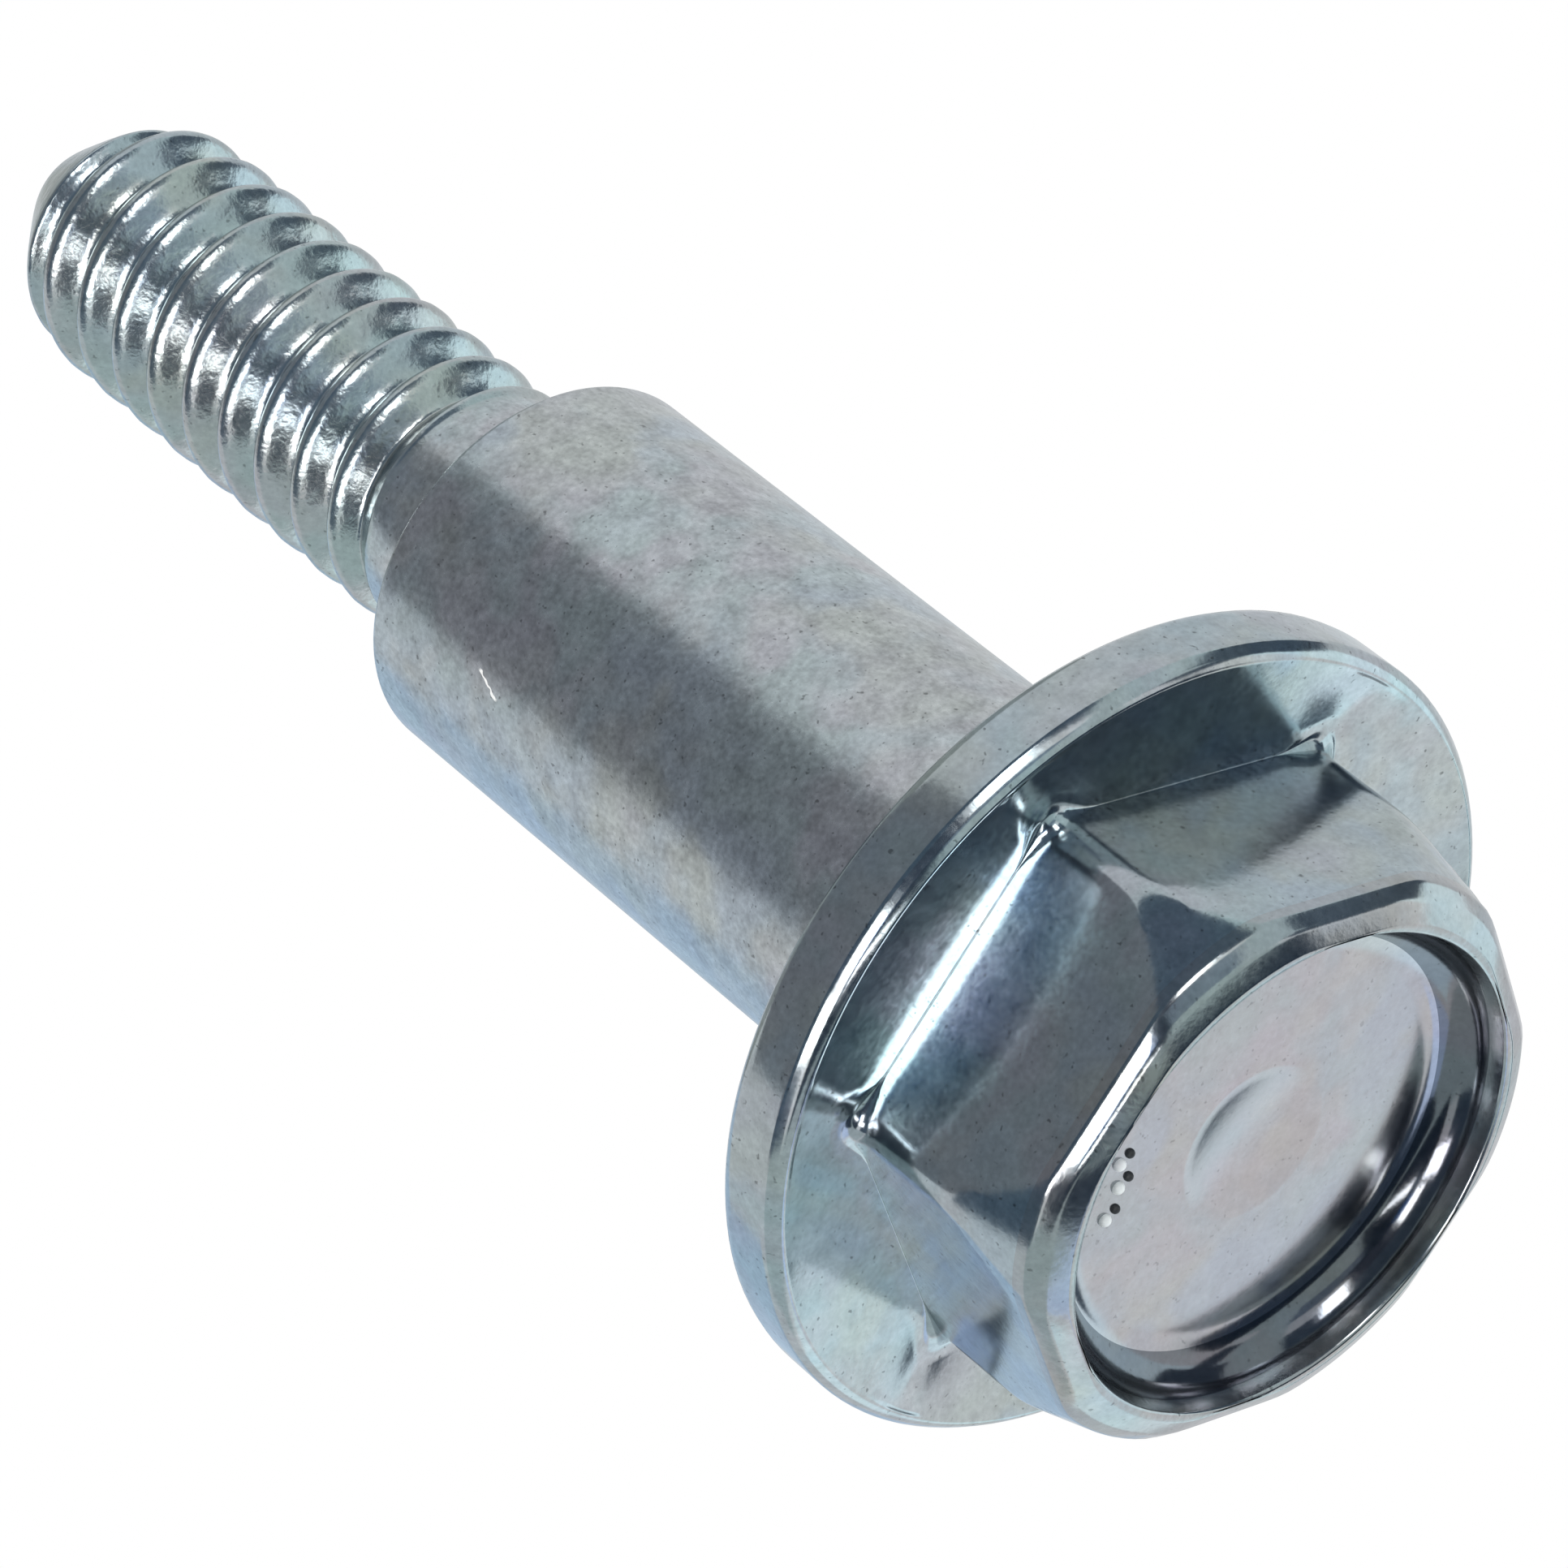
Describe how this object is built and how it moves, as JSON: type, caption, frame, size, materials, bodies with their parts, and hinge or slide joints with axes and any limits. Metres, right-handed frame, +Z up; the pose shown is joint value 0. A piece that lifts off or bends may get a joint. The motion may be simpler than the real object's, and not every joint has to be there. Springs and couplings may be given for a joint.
{
  "type": "shoulder bolt",
  "caption": "Shoulder bolt with an indented hexagon washer head, a plain round shoulder and a smaller threaded end with a rounded point.",
  "frame": {"origin": "centre of the flat rim round the recess in the head, on which the bolt stands", "axes": "+Z up the bolt's axis from the head to the threaded point; two hexagon edges lie on the X axis"},
  "size_m": [0.0138, 0.0138, 0.0326],
  "materials": {
    "zinc_plated_steel": "bright zinc plating with a clear blue passivate, faintly iridescent"
  },
  "bodies": {
    "root": {"shoulder_bolt": "zinc_plated_steel"}
  },
  "joints": []
}
